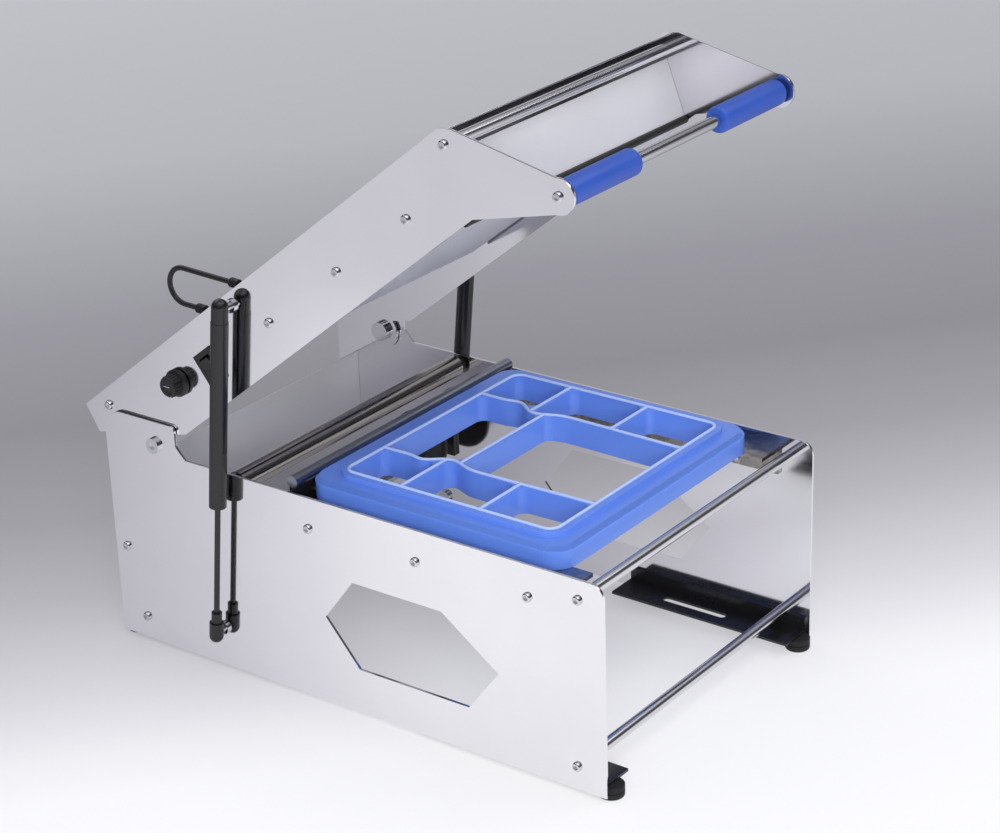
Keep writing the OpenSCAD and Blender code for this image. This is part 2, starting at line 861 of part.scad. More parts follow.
// Thermostat behind the left lid plate, and its knob
module thermostat() {
  color("dimgray") on_lid() difference() {
    translate([-lid_inner, -knob_place[0] - thermostat_size[1] / 2, knob_place[1] - thermostat_size[2] / 2])
      cube(thermostat_size);
    bar(lid_place(knob_place), shaft_diameter + 2 * shaft_gap, -half_width,
      -lid_inner + shaft_reach + shaft_room);
  }
}

module thermostat_knob() {
  color("black") on_lid() translate([-lid_outer - knob_gap, -knob_place[0], knob_place[1]]) {
    rotate([0, -90, 0]) rotate_extrude() polygon([
      [0, 0], [knob_diameter / 2, 0], [knob_diameter / 2, knob_skirt],
      [knob_diameter / 2 - knob_step, knob_skirt + knob_round],
      [knob_diameter / 2 - knob_step - knob_round, knob_height - knob_round],
      [knob_diameter / 2 - knob_step - 2 * knob_round, knob_height], [0, knob_height]
    ]);
    rotate([0, 90, 0]) cylinder(d = shaft_diameter, h = knob_gap + plate_thickness + shaft_reach);
  }
}

// Power switch in the left lid plate, its rocker on a pin along the lid
module along_lid(diameter, length)
  translate([-lid_outer + rocker_pivot, -switch_place[0], switch_place[1]]) rotate([90, 0, 0])
    cylinder(d = diameter, h = length, center = true);

module switch_housing() {
  flange = [switch_length, switch_height];
  body = flange - 2 * (rocker_wall + fit_gap) * [1, 1];
  well = flange - 4 * rocker_wall * [1, 1];
  color("black") on_lid() difference() {
    union() {
      slab(-lid_outer - switch_flange, -lid_outer) translate(lid_place(switch_place)) square(flange, center = true);
      slab(-lid_outer, -lid_outer + switch_depth) translate(lid_place(switch_place)) square(body, center = true);
    }
    slab(-lid_outer - switch_flange - 1, -lid_outer + switch_depth - rocker_wall)
      translate(lid_place(switch_place)) square(well, center = true);
    along_lid(rocker_pin + 2 * hinge_gap, switch_length);
  }
}

module switch_rocker() {
  across = switch_length - 4 * rocker_wall - 2 * rocker_gap;
  high = switch_height / 2 - 2 * rocker_wall - rocker_room;
  front = -rocker_pivot - rocker_proud;
  heel = [rocker_pin + 1, high - rocker_heel];
  color("black") on_lid() {
    translate([-lid_outer + rocker_pivot, -switch_place[0], switch_place[1]]) rotate([0, rocker_tilt, 0])
      rotate([90, 0, 0]) linear_extrude(across, center = true) polygon([
        [front, high], [front + rocker_dish, 0], [front, -high], [heel[0], -heel[1]], heel
      ]);
    along_lid(rocker_pin, across + 2 * rocker_gap + rocker_wall);
  }
}

// Gas struts, drawn upright from the lower stud and leaned forward
module on_strut() on_base()
  translate([-stud_axis, lower_stud[0], lower_stud[1]]) rotate([strut_lean, 0, 0]) children();

// End socket with a domed tip, its blind bore open to the plate
module strut_eye(diameter) {
  difference() {
    rotate_extrude() polygon(concat(
      [[0, -eye_drop], [diameter / 2, -eye_drop]], arc([0, eye_rise], diameter / 2, 0, 90)
    ));
    translate([-diameter / 2 + eye_wall, 0, 0]) rotate([0, 90, 0])
      cylinder(d = ball_diameter + 2 * ball_gap, h = diameter);
  }
}

module strut_tube() {
  color("black") on_strut() translate([0, 0, strut_span]) {
    strut_eye(upper_eye);
    translate([0, 0, -eye_drop - tube_length]) difference() {
      cylinder(d = strut_tube_diameter, h = tube_length);
      translate([0, 0, -1]) cylinder(d = strut_rod_diameter + 2 * tube_slack, h = tube_length - tube_end);
    }
  }
}

module strut_rod() {
  color("dimgray") on_strut() {
    mirror([0, 0, 1]) strut_eye(lower_eye);
    translate([0, 0, eye_drop]) cylinder(d = neck_diameter, h = neck_length);
    translate([0, 0, eye_drop]) cylinder(d = strut_rod_diameter, h = rod_top - eye_drop);
  }
}

module left_strut_tube() strut_tube();
module right_strut_tube() at_right() strut_tube();
module left_strut_rod() strut_rod();
module right_strut_rod() at_right() strut_rod();

left_side_plate();
right_side_plate();
front_top_tie_bar();
front_low_tie_bar();
rear_low_tie_bar();
rear_middle_tie_bar();
left_base_screws();
right_base_screws();
left_mould_rail();
right_mould_rail();
front_left_foot_rail();
front_right_foot_rail();
rear_left_foot_rail();
rear_right_foot_rail();
front_left_foot();
front_right_foot();
rear_left_foot();
rear_right_foot();
mould();
mould_gasket();
rear_panel();
film_rest_rod();
film_strip();
left_roller_bush();
right_roller_bush();
film_roller();
left_spindle_cradle();
right_spindle_cradle();
film_spindle();
left_film_collar();
right_film_collar();
left_hinge_bolt();
right_hinge_bolt();
left_lower_stud();
right_lower_stud();
left_lid_plate();
right_lid_plate();
lid_top_cover();
lid_front_panel();
lid_front_bar();
lid_rear_bar();
handle_bar();
left_grip();
right_grip();
heater_block();
sealing_plate();
left_lid_screws();
right_lid_screws();
left_upper_stud();
right_upper_stud();
lead_glands();
jumper_lead();
thermostat();
thermostat_knob();
switch_housing();
switch_rocker();
left_strut_tube();
right_strut_tube();
left_strut_rod();
right_strut_rod();
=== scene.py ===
import json
import math

import bmesh
import bpy
from bpy.props import FloatProperty, IntProperty, PointerProperty, StringProperty
from mathutils import Matrix, Vector

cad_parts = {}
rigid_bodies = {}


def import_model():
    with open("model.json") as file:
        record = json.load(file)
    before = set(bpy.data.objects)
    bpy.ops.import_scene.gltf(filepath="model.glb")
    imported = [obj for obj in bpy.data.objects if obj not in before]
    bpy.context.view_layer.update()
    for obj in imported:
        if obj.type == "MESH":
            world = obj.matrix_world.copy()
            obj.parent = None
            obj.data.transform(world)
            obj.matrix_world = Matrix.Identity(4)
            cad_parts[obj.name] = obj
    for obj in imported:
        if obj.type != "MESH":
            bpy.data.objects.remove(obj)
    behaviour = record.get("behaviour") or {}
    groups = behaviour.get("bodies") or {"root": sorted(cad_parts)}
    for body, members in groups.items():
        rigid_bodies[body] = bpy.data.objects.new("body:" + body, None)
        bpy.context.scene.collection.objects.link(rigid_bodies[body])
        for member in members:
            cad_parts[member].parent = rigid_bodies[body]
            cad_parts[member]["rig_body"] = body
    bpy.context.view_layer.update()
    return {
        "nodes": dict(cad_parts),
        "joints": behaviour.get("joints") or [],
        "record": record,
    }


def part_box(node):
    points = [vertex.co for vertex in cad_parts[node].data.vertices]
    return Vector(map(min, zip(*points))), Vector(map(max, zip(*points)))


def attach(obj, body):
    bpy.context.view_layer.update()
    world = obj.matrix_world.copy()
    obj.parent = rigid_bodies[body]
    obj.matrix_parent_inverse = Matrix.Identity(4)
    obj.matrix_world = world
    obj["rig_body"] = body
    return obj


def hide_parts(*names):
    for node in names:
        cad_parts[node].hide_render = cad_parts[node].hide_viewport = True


bl_info = {
    "name": "Meal Tray Sealer",
    "version": (1, 0, 0),
    "blender": (4, 5, 0),
    "location": "View3D > Sidebar > Tray Sealer",
    "description": "Dresses a hand-operated meal tray sealer with its finishes and fine pieces",
    "category": "Object",
}

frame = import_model()
NODES = frame["nodes"]
SLOTS = {part["node"]: part["material_slot"] for part in frame["record"]["subparts"]}
JOINTS = {joint["name"]: joint for joint in frame["joints"]}
MM = 0.001
UP = Vector((0, 0, 1))
MODIFIER = "shape"

# Points closer than MERGE are one point, faces that turn less than FLAT are one flat, and edges that turn
# more than SHARP are edges and not part of a round.
MERGE = 0.01 * MM
FLAT = math.radians(1)
SHARP = math.radians(40)

# The lid is drawn forward of its hinge and above it, lid shut, then opened to where it stands at rest.
HINGE = Vector(JOINTS["lid_hinge"]["pos_m"])
OPEN = math.radians(JOINTS["lid_hinge"]["range_deg"][1])
LID_TURN = Matrix.Rotation(-OPEN, 3, "X")


def lid_way(across, back, rise):
    """A direction on the open lid, from one on the shut lid."""
    return LID_TURN @ Vector((across, back, rise))


def lid_point(across, back, rise):
    """A place on the open lid, from millimetres measured from the hinge with the lid shut."""
    return HINGE + lid_way(across, back, rise) * MM


def linear(text):
    """An sRGB hex colour as linear red, green, blue and alpha."""
    parts = [int(text[i:i + 2], 16) / 255 for i in (1, 3, 5)]
    return tuple(c / 12.92 if c <= 0.04045 else ((c + 0.055) / 1.055) ** 2.4 for c in parts) + (1.0,)


def shaded(colour, share):
    """A hex colour made darker or lighter by a share of its light."""
    return tuple(min(1.0, share * c) for c in linear(colour)[:3]) + (1.0,)


def wire(tree, node, inputs):
    """Sets or links a node's inputs."""
    for name, value in inputs.items():
        if isinstance(value, bpy.types.NodeSocket):
            tree.links.new(value, node.inputs[name])
        else:
            node.inputs[name].default_value = value


def add(tree, kind, inputs=None, **settings):
    """Adds a node with its settings, and sets or links its inputs."""
    made = tree.nodes.new(kind)
    for name, value in settings.items():
        setattr(made, name, value)
    wire(tree, made, inputs or {})
    return made


def set_stops(ramp, stops):
    """Sets a colour ramp's (place, hex colour) stops."""
    for end in (0, -1):
        ramp.elements[end].position, ramp.elements[end].color = stops[end][0], linear(stops[end][1])
    for place, colour in stops[1:-1]:
        ramp.elements.new(place).color = linear(colour)


class SealerSizes(bpy.types.PropertyGroup):
    """Sizes of the fine pieces."""

    mould_round: FloatProperty(
        name="Mould rounding", description="Radius along the mould's edges", default=2.2 * MM, unit="LENGTH")
    sheet_round: FloatProperty(
        name="Sheet edge", description="Radius along the edges of sheet metal", default=0.5 * MM,
        unit="LENGTH")
    block_round: FloatProperty(
        name="Block edge", description="Radius along the edges of blocks and rails", default=0.9 * MM,
        unit="LENGTH")
    grip_round: FloatProperty(
        name="Grip rounding", description="Radius at the ends of the grips", default=3.5 * MM, unit="LENGTH")
    knob_ribs: IntProperty(name="Knob ribs", description="Ribs round the thermostat knob", default=20, min=8)
    rib_radius: FloatProperty(
        name="Rib radius", description="Radius of a rib on the knob", default=1.1 * MM, unit="LENGTH")
    lead_diameter: FloatProperty(
        name="Lead diameter", description="Diameter of the lead on the lid", default=5.5 * MM, unit="LENGTH")
    # A black round strip along the lower edge of the lid's front panel.
    black_strip_radius: FloatProperty(
        name="Black strip radius", description="Radius of the black strip under the lid's front panel", default=4.0 * MM,
        unit="LENGTH")


class SealerColours(bpy.types.PropertyGroup):
    """Colours of the finishes, as sRGB hex values."""

    stainless: StringProperty(name="Stainless", description="Polished side plates", default="#F1F0F3")
    satin: StringProperty(name="Satin panel", description="Fine-blasted panels", default="#E0DFE4")
    zinc: StringProperty(name="Zinc", description="Zinc plated rails", default="#A8A49E")
    rod: StringProperty(name="Rest rod", description="Satin film rest rod", default="#8F949F")
    roller: StringProperty(name="Roller", description="Burnished film roller", default="#A39E9B")
    bright: StringProperty(name="Bright steel", description="Bars, studs and screws", default="#D9D9DC")
    mould: StringProperty(name="Mould", description="Blue coated mould", default="#5A80D8")
    grip: StringProperty(name="Grip", description="Blue grips", default="#2448A0")
    gasket: StringProperty(name="Gasket", description="Silicone bead", default="#A8BCE8")
    black: StringProperty(name="Black", description="Black plastic and coating", default="#141416")
    heater: StringProperty(name="Heater", description="Cast heater block", default="#A5A5AA")
    coated: StringProperty(name="Coated face", description="Non-stick sealing face", default="#DCDCE2")
    studio: StringProperty(name="Studio", description="Light from all round", default="#E4E5EA")


def sizes():
    return bpy.context.scene.sealer_sizes


def colours():
    return bpy.context.scene.sealer_colours


def cleared(block):
    """The emptied node tree of a new material or world."""
    block.use_nodes = True
    block.node_tree.nodes.clear()
    return block.node_tree


def new_material(name):
    """A material with its tree, its shader and the object's own coordinates."""
    made = bpy.data.materials.new(name)
    tree = cleared(made)
    shader = add(tree, "ShaderNodeBsdfPrincipled")
    add(tree, "ShaderNodeOutputMaterial", {"Surface": shader.outputs["BSDF"]})
    place = add(tree, "ShaderNodeTexCoord").outputs["Object"]
    return made, tree, shader, place


def metal(name, colour, roughness, spread, grain, relief, metallic=1.0):
    """Metal with fine lines, sized by grain along X, Y and Z, clouded where hands and cloths have been."""
    cloud, line_depth = 110 * MM, 0.02 * MM
    darker, lighter = 0.93, 1.04
    clean, worn = 0.1, 0.45
    made, tree, shader, place = new_material(name)
    stretched = add(tree, "ShaderNodeMapping", {"Vector": place, "Scale": [1 / size for size in grain]})
    lines = add(tree, "ShaderNodeTexNoise", {
        "Vector": stretched.outputs["Vector"], "Scale": 1.0, "Detail": 3.0})
    smear = add(tree, "ShaderNodeTexNoise", {"Vector": place, "Scale": 1 / cloud, "Detail": 4.0})
    both = add(tree, "ShaderNodeMath", {
        0: lines.outputs["Fac"], 1: smear.outputs["Fac"]}, operation="MULTIPLY")
    rough = add(tree, "ShaderNodeMapRange", {
        "Value": both.outputs["Value"], "From Min": clean, "From Max": worn,
        "To Min": roughness, "To Max": roughness + spread})
    tint = add(tree, "ShaderNodeMixRGB", {
        "Fac": smear.outputs["Fac"], "Color1": shaded(colour, darker), "Color2": shaded(colour, lighter)})
    bump = add(tree, "ShaderNodeBump", {
        "Height": lines.outputs["Fac"], "Strength": relief, "Distance": line_depth})
    wire(tree, shader, {
        "Base Color": tint.outputs["Color"], "Roughness": rough.outputs["Result"],
        "Normal": bump.outputs["Normal"], "Metallic": metallic})
    return made


def plated(name, colour, roughness, crystal):
    """Zinc plate: flat crystals that each take the light a little differently."""
    darker, lighter = 0.7, 1.15
    spread, relief, crystal_depth = 0.12, 0.06, 0.05 * MM
    made, tree, shader, place = new_material(name)
    cells = add(tree, "ShaderNodeTexVoronoi", {"Vector": place, "Scale": 1 / crystal})
    tone = add(tree, "ShaderNodeSeparateColor", {"Color": cells.outputs["Color"]})
    tint = add(tree, "ShaderNodeMixRGB", {
        "Fac": tone.outputs["Red"], "Color1": shaded(colour, darker), "Color2": shaded(colour, lighter)})
    rough = add(tree, "ShaderNodeMapRange", {
        "Value": tone.outputs["Green"], "To Min": roughness, "To Max": roughness + spread})
    bump = add(tree, "ShaderNodeBump", {
        "Height": cells.outputs["Distance"], "Strength": relief, "Distance": crystal_depth})
    wire(tree, shader, {
        "Base Color": tint.outputs["Color"], "Roughness": rough.outputs["Result"],
        "Normal": bump.outputs["Normal"], "Metallic": 1.0})
    return made


def coating(name, colour, roughness, grain, relief, lighter=1.25, coat=0.0):
    """Paint, plastic or rubber: a grained skin whose tone drifts a little over about 70 mm."""
    drift_size, grain_depth = 1000 / 14 * MM, 0.1 * MM
    drift_low, drift_high = 0.3, 0.7
    smoother, rougher = 0.05, 0.06
    made, tree, shader, place = new_material(name)
    fine = add(tree, "ShaderNodeTexNoise", {"Vector": place, "Scale": 1 / grain, "Detail": 2.0})
    drift = add(tree, "ShaderNodeTexNoise", {"Vector": place, "Scale": 1 / drift_size, "Detail": 3.0})
    tint = add(tree, "ShaderNodeMixRGB", {
        "Fac": drift.outputs["Fac"], "Color1": linear(colour), "Color2": shaded(colour, lighter)})
    rough = add(tree, "ShaderNodeMapRange", {
        "Value": drift.outputs["Fac"], "From Min": drift_low, "From Max": drift_high,
        "To Min": roughness - smoother, "To Max": roughness + rougher})
    bump = add(tree, "ShaderNodeBump", {
        "Height": fine.outputs["Fac"], "Strength": relief, "Distance": grain_depth})
    wire(tree, shader, {
        "Base Color": tint.outputs["Color"], "Roughness": rough.outputs["Result"],
        "Normal": bump.outputs["Normal"], "IOR": 1.5, "Coat Weight": coat})
    return made


def woven_coating(name, colour, unit):
    """Glass cloth under a non-stick coating: the weave shows through as a fine checker.

    At this band scale the threads lie pi / 5 of the unit apart."""
    band_scale, gaps_share = 0.5, 0.85
    relief, weave_depth = 0.15, 0.1 * MM
    made, tree, shader, place = new_material(name)
    scaled = add(tree, "ShaderNodeMapping", {"Vector": place, "Scale": [1 / unit] * 3})
    across, along = [
        add(tree, "ShaderNodeTexWave", {
            "Vector": scaled.outputs["Vector"], "Scale": band_scale}, bands_direction=way)
        for way in ("X", "Y")]
    weave = add(tree, "ShaderNodeMath", {
        0: across.outputs["Fac"], 1: along.outputs["Fac"]}, operation="MULTIPLY")
    tint = add(tree, "ShaderNodeMixRGB", {
        "Fac": weave.outputs["Value"], "Color1": shaded(colour, gaps_share), "Color2": linear(colour)})
    bump = add(tree, "ShaderNodeBump", {
        "Height": weave.outputs["Value"], "Strength": relief, "Distance": weave_depth})
    wire(tree, shader, {
        "Base Color": tint.outputs["Color"], "Normal": bump.outputs["Normal"],
        "Roughness": 0.3, "IOR": 1.38})
    return made


def make_finishes():
    """One finish for each material slot of the record, named for what the real surface is."""
    tones = colours()
    # Polishing lines, lathe lines and glass thread are finer than this on the real surfaces, and are drawn
    # as coarse as they need to be to show.
    polished = (60 * MM, 60 * MM, 0.9 * MM)
    blasted = (1.2 * MM, 1.2 * MM, 1.2 * MM)
    turned = (0.7 * MM, 5 * MM, 5 * MM)
    milled = (30 * MM, 1.2 * MM, 1.2 * MM)
    return {
        # Cold rolled sheet polished to a mirror, which carries the floor and its light in soft bands.
        "stainless_plate": metal(
            "polished_stainless_sheet", tones.stainless, roughness=0.06, spread=0.06, grain=polished,
            relief=0.02),
        # Fine-blasted sheet: pale and even, with only a soft reflection.
        "satin_panel": metal(
            "fine_blasted_stainless", tones.satin, roughness=0.28, spread=0.10, grain=blasted, relief=0.01,
            metallic=0.3),
        # Zinc plated angle, bright with small crystals that break its reflections up.
        "zinc_rail": plated("zinc_plated_steel", tones.zinc, roughness=0.16, crystal=7 * MM),
        # Ground rod, grey with a soft highlight.
        "satin_rod": metal(
            "ground_steel_rod", tones.rod, roughness=0.30, spread=0.10, grain=turned, relief=0.05),
        # Roller burnished by film, dark with bright streaks.
        "burnished_roller": metal(
            "burnished_steel_roller", tones.roller, roughness=0.16, spread=0.10, grain=turned, relief=0.05),
        # Turned bar with lathe lines.
        "bright_steel": metal(
            "turned_bright_steel", tones.bright, roughness=0.12, spread=0.08, grain=turned, relief=0.04),
        # Milled casting with a grey bloom.
        "heater_aluminium": metal(
            "milled_cast_aluminium", tones.heater, roughness=0.34, spread=0.15, grain=milled, relief=0.12),
        # Powder coat on steel, with an orange peel that breaks up highlights.
        "black_metal": coating(
            "black_powder_coat", tones.black, roughness=0.26, grain=0.9 * MM, relief=0.12, lighter=1.6),
        # Moulded ABS with a spark-eroded grain.
        "black_plastic": coating(
            "moulded_black_plastic", tones.black, roughness=0.44, grain=0.6 * MM, relief=0.25),
        # Thick blue coating on a casting, glossy with a slight orange peel.
        "mould_blue": coating(
            "blue_coated_casting", tones.mould, roughness=0.36, grain=2.2 * MM, relief=0.12, lighter=1.12,
            coat=0.2),
        # Soft moulded sleeve with a fine matt skin.
        "grip_blue": coating(
            "blue_moulded_sleeve", tones.grip, roughness=0.42, grain=0.8 * MM, relief=0.3),
        # Silicone cord, milky and slightly waxy.
        "gasket_white": coating(
            "milky_silicone", tones.gasket, roughness=0.45, grain=1.5 * MM, relief=0.1, lighter=1.1),
        # Moulded rubber, dull and dark.
        "foot_rubber": coating("moulded_rubber", tones.black, roughness=0.7, grain=0.8 * MM, relief=0.4),
        # Glass cloth coated with a non-stick film, its threads 1 mm apart.
        "coated_face": woven_coating("non_stick_glass_cloth", tones.coated, unit=1.6 * MM),
    }


FINISHES = {}


def dress(piece, slot, body, replaced=()):
    """Gives a piece its finish and the body that it rides on, and hides the nodes that it stands for."""
    piece.data.materials.clear()
    piece.data.materials.append(FINISHES[slot])
    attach(piece, body)
    for node in replaced:
        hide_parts(node)


def placed(name, data):
    """A new object in the scene."""
    made = bpy.data.objects.new(name, data)
    bpy.context.scene.collection.objects.link(made)
    return made


def new_object(name, bm, crease=None):
    """Turns a bmesh into an object, with its round faces smooth and edges sharper than crease kept sharp."""
    mesh = bpy.data.meshes.new(name)
    bmesh.ops.remove_doubles(bm, verts=bm.verts, dist=MERGE)
    bmesh.ops.recalc_face_normals(bm, faces=bm.faces)
    for face in bm.faces:
        face.smooth = any(FLAT < edge.calc_face_angle(0) < SHARP for edge in face.edges)
    bm.to_mesh(mesh)
    bm.free()
    if crease is not None:
        mesh.set_sharp_from_angle(angle=crease)
    return placed(name, mesh)


def applied(piece):
    """Bakes a piece's modifiers into a plain mesh."""
    graph = bpy.context.evaluated_depsgraph_get()
    mesh = bpy.data.meshes.new_from_object(piece.evaluated_get(graph))
    piece.modifiers.clear()
    piece.data = mesh


def eased(piece, width, segments=3):
    """Rounds a piece's sharp edges over, smooth on the new faces and flat on the flat ones."""
    rounded = 1
    piece.data.materials.append(None)
    piece.data.materials.append(None)
    bevel = piece.modifiers.new(MODIFIER, "BEVEL")
    bevel.width = width
    bevel.segments = segments
    bevel.limit_method = "ANGLE"
    bevel.angle_limit = SHARP
    bevel.use_clamp_overlap = True
    bevel.material = rounded
    applied(piece)
    for polygon in piece.data.polygons:
        polygon.use_smooth = polygon.use_smooth or polygon.material_index == rounded
        polygon.material_index = 0
    return piece


def copied(node):
    """A bmesh of a CAD node with its flat faces joined up."""
    bm = bmesh.new()
    bm.from_mesh(NODES[node].data)
    bmesh.ops.remove_doubles(bm, verts=bm.verts, dist=MERGE)
    bmesh.ops.dissolve_limit(bm, angle_limit=FLAT, verts=bm.verts, edges=bm.edges)
    return bm


def in_metres(profile):
    """A lathe's profile from millimetres."""
    return [(along * MM, radius * MM, *sides) for along, radius, *sides in profile]


def lathe(profile, origin, axis, steps=64, bm=None):
    """Turns (distance along, radius) points in metres about an axis through origin.

    A third number in a point makes its ring a polygon of that many sides, measured across its flats."""
    bm = bm or bmesh.new()
    turn = axis.to_track_quat("Z", "X").to_matrix()
    rings = []
    for along, radius, *sides in profile:
        ring = []
        for step in range(steps):
            angle = 2 * math.pi * step / steps
            reach = radius
            if sides:
                face = 2 * math.pi / sides[0]
                reach = radius / math.cos(angle % face - face / 2)
            place = Vector((reach * math.cos(angle), reach * math.sin(angle), along))
            ring.append(bm.verts.new(origin + turn @ place))
        rings.append(ring)
    for low, high in zip(rings, rings[1:]):
        for step in range(steps):
            after = (step + 1) % steps
            bm.faces.new((low[step], low[after], high[after], high[step]))
    return bm


def quarter_turns(steps):
    """Angles over a quarter turn, both ends among them."""
    return [math.pi / 2 * step / steps for step in range(steps + 1)]


def quarter(along, radius, corner, from_side):
    """Points of a lathe's profile round a corner, from its side to its end or from its end to its side."""
    points = [(along + corner * math.sin(turn), radius + abs(corner) * math.cos(turn))
              for turn in quarter_turns(steps=6)]
    return points if from_side else points[::-1]


def islands(node):
    """The lowest and highest corner of each separate solid in a CAD node."""
    bm = copied(node)
    left = set(bm.verts)
    found = []
    while left:
        reached = [left.pop()]
        for vert in reached:
            for edge in vert.link_edges:
                other = edge.other_vert(vert)
                if other in left:
                    left.remove(other)
                    reached.append(other)
        found.append([Vector([end(v.co[i] for v in reached) for i in range(3)]) for end in (min, max)])
    bm.free()
    return sorted(found, key=lambda corners: tuple(corners[0]))


def new_tree(name, inputs):
    """A Geometry Nodes tree with named inputs, and the outputs of its input node."""
    tree = bpy.data.node_groups.new(name, "GeometryNodeTree")
    face = tree.interface
    face.new_socket("Geometry", in_out="INPUT", socket_type="NodeSocketGeometry")
    for label, kind in inputs.items():
        face.new_socket(label, in_out="INPUT", socket_type="NodeSocket" + kind)
    face.new_socket("Geometry", in_out="OUTPUT", socket_type="NodeSocketGeometry")
    return tree, add(tree, "NodeGroupInput").outputs


def finish_tree(tree, shape, given):
    """Ends a tree: instances made real, and the finish set."""
    real = add(tree, "GeometryNodeRealizeInstances", {"Geometry": shape})
    dressed = add(tree, "GeometryNodeSetMaterial", {
        "Geometry": real.outputs["Geometry"], "Material": given["Finish"]})
    add(tree, "NodeGroupOutput", {"Geometry": dressed.outputs["Geometry"]})
    return tree


def grown(piece, tree, **values):
    """Runs a tree on a piece with its inputs set, and keeps the result as a plain mesh."""
    modifier = piece.modifiers.new(MODIFIER, "NODES")
    modifier.node_group = tree
    for item in tree.interface.items_tree:
        if item.in_out == "INPUT" and item.name in values:
            modifier[item.identifier] = values[item.name]
    applied(piece)


def seats_tree():
    """One piece set on every point."""
    tree, given = new_tree("piece_on_every_seat", {"Piece": "Object", "Finish": "Material"})
    piece = add(tree, "GeometryNodeObjectInfo", {"Object": given["Piece"], "As Instance": True})
    seated = add(tree, "GeometryNodeInstanceOnPoints", {
        "Points": given["Geometry"], "Instance": piece.outputs["Geometry"]})
    return finish_tree(tree, seated.outputs["Instances"], given)


def bead_tree():
    """A round bead laid along every line."""
    bead_sides = 16
    tree, given = new_tree("bead_along_lines", {"Radius": "Float", "Finish": "Material"})
    line = add(tree, "GeometryNodeMeshToCurve", {"Mesh": given["Geometry"]})
    section = add(tree, "GeometryNodeCurvePrimitiveCircle", {
        "Resolution": bead_sides, "Radius": given["Radius"]})
    bead = add(tree, "GeometryNodeCurveToMesh", {
        "Curve": line.outputs["Curve"], "Profile Curve": section.outputs["Curve"], "Fill Caps": True})
    smooth = add(tree, "GeometryNodeSetShadeSmooth", {"Geometry": bead.outputs["Mesh"]})
    return finish_tree(tree, smooth.outputs["Geometry"], given)


def ribs_tree():
    """A ring of upright ribs round a turned piece that stands on its own Z axis."""
    tree, given = new_tree("ring_of_ribs", {
        "Rib": "Object", "Count": "Int", "Ring radius": "Float", "Finish": "Material"})
    rib = add(tree, "GeometryNodeObjectInfo", {"Object": given["Rib"], "As Instance": True})
    ring = add(tree, "GeometryNodeMeshCircle", {"Vertices": given["Count"], "Radius": given["Ring radius"]})
    seated = add(tree, "GeometryNodeInstanceOnPoints", {
        "Points": ring.outputs["Mesh"], "Instance": rib.outputs["Geometry"]})
    joined = add(tree, "GeometryNodeJoinGeometry", {"Geometry": given["Geometry"]})
    tree.links.new(seated.outputs["Instances"], joined.inputs["Geometry"])
    return finish_tree(tree, joined.outputs["Geometry"], given)


class SEALER_OT_finishes(bpy.types.Operator):
    """Make the finishes and put them on the carried-over pieces"""

    bl_idname = "sealer.finishes"
    bl_label = "Finishes"

    def execute(self, context):
        FINISHES.update(make_finishes())
        for node, slot in SLOTS.items():
            for place in NODES[node].material_slots:
                place.material = FINISHES[slot]
        return {"FINISHED"}


